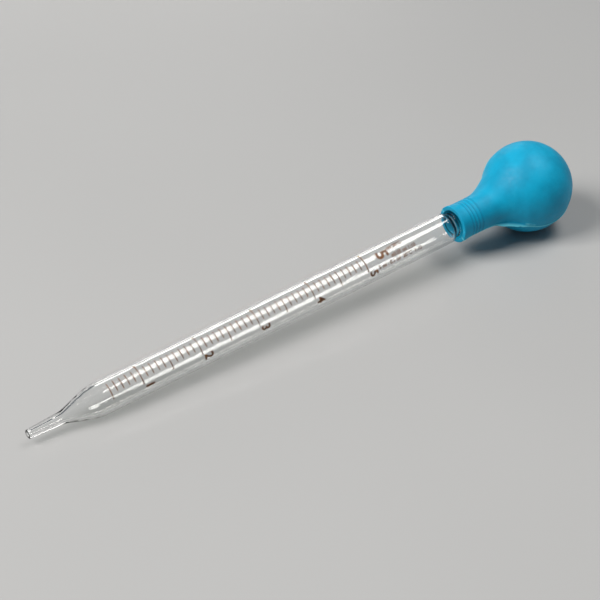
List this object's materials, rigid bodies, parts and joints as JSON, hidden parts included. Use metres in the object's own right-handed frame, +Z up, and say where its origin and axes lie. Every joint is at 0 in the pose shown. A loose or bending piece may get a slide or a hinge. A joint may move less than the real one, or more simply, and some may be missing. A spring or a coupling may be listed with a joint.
{
  "type": "graduated dropper pipette",
  "caption": "Glass dropper pipette with a drawn jet, a fired-on millilitre scale and a round blue rubber bulb that squeezes in and pulls off the necked end.",
  "frame": {"origin": "centre of the bounding box in plan, on the table that the pipette lies on", "axes": "+X runs from the jet to the bulb, +Z is up; the tube's axis rises 3.4 degrees towards the bulb, as the pipette rests on its ball and on the lower shoulder of the tube"},
  "size_m": [0.1994, 0.029, 0.029],
  "materials": {
    "clear_glass": "clear, drawn and fire polished",
    "blue_rubber": "satin moulded, lightly dusted",
    "amber_enamel": "fired-on scale marks"
  },
  "bodies": {
    "glass": {"glass_tube": "clear_glass"},
    "bulb": {"rubber_bulb": "blue_rubber"},
    "upper_wall": {"squeeze_wall_upper": "blue_rubber"},
    "lower_wall": {"squeeze_wall_lower": "blue_rubber"}
  },
  "joints": [
    {"name": "bulb_pull", "type": "slide", "parent": "glass", "child": "bulb", "axis": [0.9982, 0, 0.0592], "range_m": [-0.0015, 0.02]},
    {"name": "upper_squeeze", "type": "slide", "parent": "bulb", "child": "upper_wall", "axis": [0.0466, 0.6157, -0.7866], "range_m": [0, 0.0075], "stiffness_N_per_m": 600},
    {"name": "lower_squeeze", "type": "slide", "parent": "bulb", "child": "lower_wall", "axis": [-0.0466, -0.6157, 0.7866], "range_m": [0, 0.0075], "stiffness_N_per_m": 600}
  ],
  "couplings": [
    {"joint": "lower_squeeze", "follows": "upper_squeeze", "ratio": 1}
  ]
}
